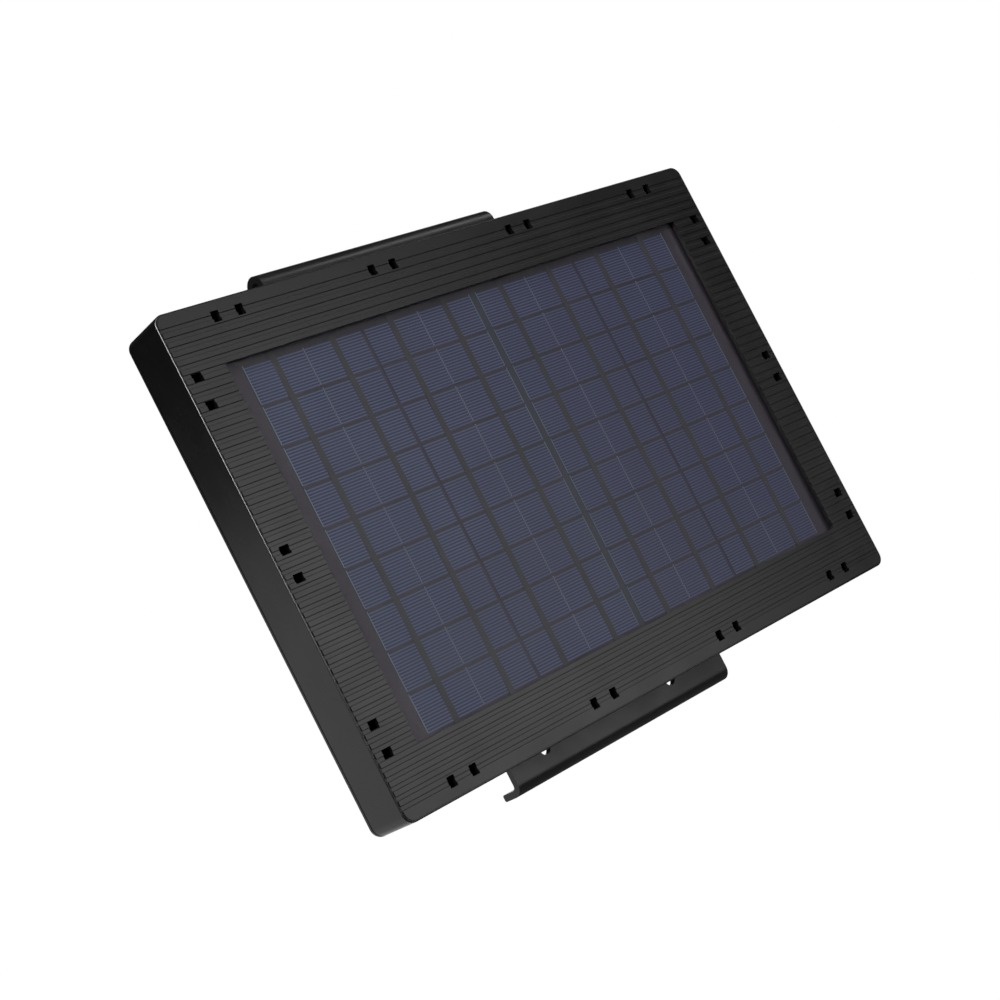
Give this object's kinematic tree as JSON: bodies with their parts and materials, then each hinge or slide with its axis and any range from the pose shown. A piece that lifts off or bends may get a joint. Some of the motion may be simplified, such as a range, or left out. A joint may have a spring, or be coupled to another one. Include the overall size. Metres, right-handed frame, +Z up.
{
  "type": "solar panel",
  "caption": "Framed small solar panel with a ribbed bezel, a shallow casing and a hook bracket on its back to hang and bolt it up",
  "frame": {"origin": "On the axis of the hook's half-round seat, halfway along the hook", "axes": "X along the panel's width to the viewer's right when facing the cells, Y from the cells to the back, Z up; upright as it hangs"},
  "size_m": [0.395, 0.0679, 0.3134],
  "materials": {
    "casing_plastic": "satin moulded, fine grain",
    "bezel_plastic": "matt moulded, fine grain",
    "cover_plastic": "satin moulded, fine grain",
    "seal_rubber": "matt moulded rubber",
    "front_sheet_glass": "thin clear polished sheet",
    "encapsulant_clear": "thin clear resin layer",
    "encapsulant_rear": "resin layer",
    "base_board_plastic": "smooth board",
    "pad_foam": "closed-cell foam",
    "cell_silicon": "dark silicon with printed pale conductor lines",
    "ribbon_metal": "tinned strip",
    "bracket_paint": "satin powder coat",
    "spacer_plastic": "moulded, fine grain",
    "screw_steel": "dull zinc",
    "insert_brass": "turned",
    "terminal_board_laminate": "solder-masked board",
    "terminal_plastic": "moulded",
    "diode_plastic": "moulded body with tinned wires",
    "lead_red": "extruded sheath",
    "lead_black": "extruded sheath",
    "gland_plastic": "moulded nylon"
  },
  "bodies": {
    "root": {"casing": "casing_plastic", "bezel": "bezel_plastic", "back_cover": "cover_plastic", "cover_seal": "seal_rubber", "bezel_gasket": "seal_rubber", "front_sheet": "front_sheet_glass", "front_encapsulant": "encapsulant_clear", "rear_encapsulant": "encapsulant_rear", "base_board": "base_board_plastic", "laminate_pad": "pad_foam", "cell_string_1": "cell_silicon", "cell_string_2": "cell_silicon", "cell_string_3": "cell_silicon", "cell_string_4": "cell_silicon", "cell_ribbons": "ribbon_metal", "cross_ribbons": "ribbon_metal", "hook_bracket": "bracket_paint", "spacer_left": "spacer_plastic", "spacer_right": "spacer_plastic", "bracket_screws": "screw_steel", "bracket_inserts": "insert_brass", "cover_screws": "screw_steel", "board_screws": "screw_steel", "terminal_board": "terminal_board_laminate", "terminal_block": "terminal_plastic", "terminal_screws": "screw_steel", "blocking_diode": "diode_plastic", "positive_lead": "lead_red", "negative_lead": "lead_black", "gland_body": "gland_plastic", "gland_locknut": "gland_plastic", "gland_seal": "seal_rubber", "gland_nut": "gland_plastic"}
  },
  "joints": []
}
